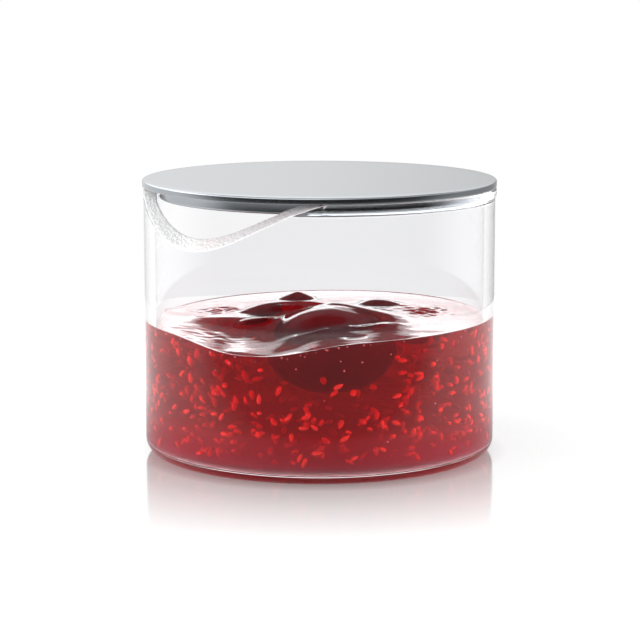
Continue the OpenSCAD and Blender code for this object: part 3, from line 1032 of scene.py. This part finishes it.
def table_acrylic():
    """White acrylic table: white to the eye, with a soft mirror image close to the pot.

    It glows a little for the eye, so that it is as white as the background and still takes
    the pot's shadow. It lights the pot like plain white sheet.
    """
    material, tree, output = new_material("white_acrylic_table")
    path = add_node(tree, "ShaderNodeLightPath")
    place_node = add_node(tree, "ShaderNodeTexCoord")
    away = add_node(tree, "ShaderNodeVectorMath", {"operation": "LENGTH"},
                    {0: place_node.outputs["Object"]})
    mirror = add_node(tree, "ShaderNodeMapRange",
                      {"From Min": MIRROR_NEAR, "From Max": MIRROR_FAR,
                       "To Min": MIRROR_SHARE, "To Max": 0.0}, {"Value": away.outputs["Value"]})
    tone = add_node(tree, "ShaderNodeMix", {"data_type": "RGBA", 6: (0.25, 0.25, 0.25, 1),
                    7: (0.8, 0.8, 0.8, 1)}, {0: path.outputs["Is Diffuse Ray"]})
    white = add_node(tree, "ShaderNodeBsdfDiffuse", (), {"Color": tone.outputs[2]})
    front = add_node(tree, "ShaderNodeVectorMath", {"operation": "DOT_PRODUCT",
                     1: (math.sin(CAMERA_TURN), -math.cos(CAMERA_TURN), 0)},
                     {0: place_node.outputs["Object"]})
    far = add_node(tree, "ShaderNodeMapRange", {"From Min": DARK_NEAR, "From Max": DARK_FAR,
                   "To Min": 1.0, "To Max": DARK_SHARE}, {"Value": front.outputs["Value"]})
    eye = add_node(tree, "ShaderNodeMix", {"data_type": "FLOAT", 2: 1.0},
                   {0: path.outputs["Glossy Depth"], 3: far.outputs[0]})
    again = add_node(tree, "ShaderNodeMapRange", {"From Min": 1.0, "From Max": 2.0,
                     "To Min": 1.0, "To Max": SECOND_IMAGE},
                     {"Value": path.outputs["Glossy Depth"]})
    seen = add_node(tree, "ShaderNodeMath", {"operation": "MULTIPLY"},
                    {0: eye.outputs[0], 1: again.outputs[0]})
    soft = add_node(tree, "ShaderNodeMath", {"operation": "SUBTRACT", "use_clamp": True},
                    {0: seen.outputs[0], 1: path.outputs["Is Diffuse Ray"]})
    under = add_node(tree, "ShaderNodeMapRange",
                     {"From Min": SHADOW_NEAR, "From Max": SHADOW_FAR,
                      "To Min": SHADOW_GLOW, "To Max": OPEN_GLOW}, {"Value": away.outputs["Value"]})
    fill = add_node(tree, "ShaderNodeMath", {"operation": "MULTIPLY"},
                    {0: soft.outputs[0], 1: under.outputs[0]})
    glow = add_node(tree, "ShaderNodeEmission", (), {"Strength": fill.outputs[0]})
    matt = add_node(tree, "ShaderNodeAddShader", (), {0: white.outputs[0], 1: glow.outputs[0]})
    gloss = add_node(tree, "ShaderNodeBsdfGlossy", {"Roughness": MIRROR_ROUGH})
    mixed = add_node(tree, "ShaderNodeMixShader", (), {0: mirror.outputs[0],
                     1: matt.outputs[0], 2: gloss.outputs[0]})
    tree.links.new(mixed.outputs[0], output.inputs["Surface"])
    return material


# The table's radius, and the hair's breadth that keeps it clear of the glass
TABLE_R = 290 * MM
TABLE_PLAY = 0.05 * MM
# Lamps: place, width in metres and power in watts
LAMPS = {
    "softbox_top": ((0.0, 0.1, 0.9), 0.8, 1.5),
    "softbox_left": ((-0.6, -0.5, 0.5), 0.5, 0.9),
    "strip_left": ((*place(-45, 0.45), 0.1), 0.25, 1.4),
    "strip_right": ((*place(135, 0.45), 0.1), 0.25, 1.6),
}


class JAMPOT_OT_stage(bpy.types.Operator):
    """Lay the table and place the world, the lamps and the camera"""
    bl_idname = "jampot.stage"
    bl_label = "Stage"

    def execute(self, context):
        scene = context.scene
        deselect()
        bpy.ops.mesh.primitive_circle_add(vertices=96, radius=TABLE_R, fill_type="NGON")
        table = context.object
        table.name = "table"
        table.location.z = -TABLE_PLAY
        table.data.materials.append(table_acrylic())
        studio_world(scene)
        for name, (where, wide, power) in LAMPS.items():
            lamp = bpy.data.lights.new(name, "AREA")
            lamp.shape = "SQUARE"
            lamp.size = wide
            lamp.energy = power
            lamp_object = bpy.data.objects.new(name, lamp)
            lamp_object.location = where
            aim = AIM - Vector(where)
            lamp_object.rotation_euler = aim.to_track_quat("-Z", "Y").to_euler()
            lamp_object.visible_camera = False
            lamp_object.visible_glossy = name.startswith("softbox")
            lamp_object.visible_transmission = False
            scene.collection.objects.link(lamp_object)
        lens = bpy.data.cameras.new("camera")
        lens.lens = FOCAL_LENGTH
        lens.sensor_width = SENSOR_WIDTH
        lens.shift_x = SHIFT_ACROSS
        lens.shift_y = SHIFT_UP
        lens.clip_start = 0.01
        camera = bpy.data.objects.new("camera", lens)
        back = Vector((math.sin(CAMERA_TURN) * math.cos(CAMERA_TILT),
                       -math.cos(CAMERA_TURN) * math.cos(CAMERA_TILT), math.sin(CAMERA_TILT)))
        camera.location = AIM + back * CAMERA_AWAY
        camera.rotation_euler = (-back).to_track_quat("-Z", "Y").to_euler()
        scene.collection.objects.link(camera)
        scene.camera = camera
        scene.view_settings.view_transform = "Standard"
        # Light crosses many clear faces and several clouds on its way through the jam
        scene.cycles.volume_bounces = 6
        scene.cycles.transparent_max_bounces = 32
        return {"FINISHED"}


class JAMPOT_PT_panel(bpy.types.Panel):
    """The pieces of the jam pot, with their sizes and colours"""
    bl_idname = "JAMPOT_PT_panel"
    bl_label = "Jam pot"
    bl_space_type = "VIEW_3D"
    bl_region_type = "UI"
    bl_category = "Jam pot"

    def draw(self, context):
        for label, sizes, operators in PANEL_ROWS:
            box = self.layout.box()
            box.label(text=label)
            if sizes:
                group = getattr(context.scene, sizes)
                for name in type(group).__annotations__:
                    box.prop(group, name)
            for operator in operators:
                box.operator(operator)


PANEL_ROWS = (
    ("Glass", "jam_pot_glass", ("jampot.glass",)),
    ("Lid", "jam_pot_lid", ("jampot.lid",)),
    ("Fill", "jam_pot_jam", ("jampot.berries", "jampot.jam", "jampot.seeds",
                              "jampot.bubbles")),
    ("Stage", "", ("jampot.stage",)),
)
CLASSES = (JamPotGlass, JamPotLid, JamPotJam, JAMPOT_OT_glass, JAMPOT_OT_lid, JAMPOT_OT_berries,
           JAMPOT_OT_jam, JAMPOT_OT_seeds, JAMPOT_OT_bubbles, JAMPOT_OT_stage, JAMPOT_PT_panel)


def register():
    """Adds the classes, and the sizes and colours to the scene."""
    for kind in CLASSES:
        bpy.utils.register_class(kind)
    bpy.types.Scene.jam_pot_glass = PointerProperty(type=JamPotGlass)
    bpy.types.Scene.jam_pot_lid = PointerProperty(type=JamPotLid)
    bpy.types.Scene.jam_pot_jam = PointerProperty(type=JamPotJam)


def unregister():
    """Takes them away again."""
    del bpy.types.Scene.jam_pot_glass
    del bpy.types.Scene.jam_pot_lid
    del bpy.types.Scene.jam_pot_jam
    for kind in reversed(CLASSES):
        bpy.utils.unregister_class(kind)


def main():
    """Builds the jam pot and its stage."""
    register()
    bpy.ops.jampot.glass()
    bpy.ops.jampot.lid()
    bpy.ops.jampot.berries()
    bpy.ops.jampot.jam()
    bpy.ops.jampot.seeds()
    bpy.ops.jampot.bubbles()
    bpy.ops.jampot.stage()


if __name__ == "__main__":
    main()
